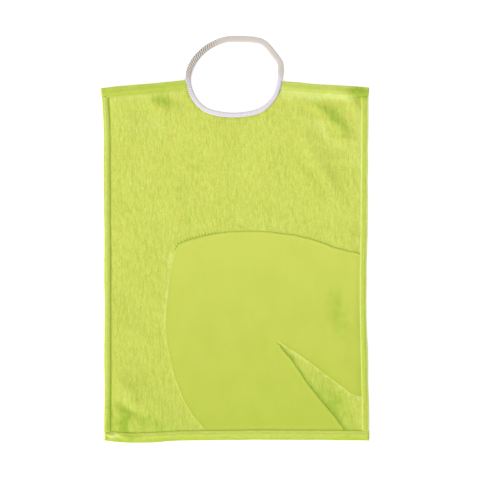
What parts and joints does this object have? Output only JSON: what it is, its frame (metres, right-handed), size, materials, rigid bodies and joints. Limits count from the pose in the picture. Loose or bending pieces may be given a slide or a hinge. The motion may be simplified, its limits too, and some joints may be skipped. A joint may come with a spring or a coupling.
{
  "type": "towelling bib",
  "caption": "Rectangular towelling bib with hemmed edges, a smooth inset field with a wedge cut into it, and a stretchy ribbed neckband ring.",
  "frame": {"origin": "under the middle of the whole object, on the surface that it lies on", "axes": "+Z out of the bib's front face, +Y from the bottom hem to the neckband, +X to the right seen from the front"},
  "size_m": [0.301, 0.46, 0.0058],
  "materials": {
    "towelling": "looped terry, matt",
    "hem_cloth": "turned and pressed terry, matt",
    "smooth_cloth": "close smooth weave, matt",
    "rib_knit": "white rib knit, matt",
    "elastic": "covered round elastic",
    "thread": "sewing thread, slight sheen"
  },
  "bodies": {
    "cloth": {"towelling_panel": "towelling", "side_hem_left": "hem_cloth", "side_hem_right": "hem_cloth", "top_hem_left": "hem_cloth", "top_hem_right": "hem_cloth", "bottom_hem": "hem_cloth", "smooth_field": "smooth_cloth", "neckband_front": "rib_knit", "elastic_front": "elastic", "side_seam_left": "thread", "side_seam_right": "thread", "top_seam_left": "thread", "top_seam_right": "thread", "bottom_seam": "thread", "neck_seam": "thread", "field_seam": "thread", "wedge_seam": "thread", "corner_tacks": "thread"},
    "neckband_sides": {"neckband_side_left": "rib_knit", "neckband_side_right": "rib_knit", "elastic_side_left": "elastic", "elastic_side_right": "elastic"},
    "neckband_back": {"neckband_back": "rib_knit", "elastic_back": "elastic"}
  },
  "joints": [
    {"name": "neckband_lift", "type": "hinge", "parent": "cloth", "child": "neckband_sides", "pos_m": [0, 0.1835, 0.005], "axis": [1, 0, 0], "range_deg": [0, 170]},
    {"name": "neckband_stretch", "type": "slide", "parent": "neckband_sides", "child": "neckband_back", "axis": [0, 1, 0], "range_m": [0, 0.07], "stiffness_N_per_m": 80, "deforming": ["neckband_side_left", "neckband_side_right", "elastic_side_left", "elastic_side_right"]}
  ]
}
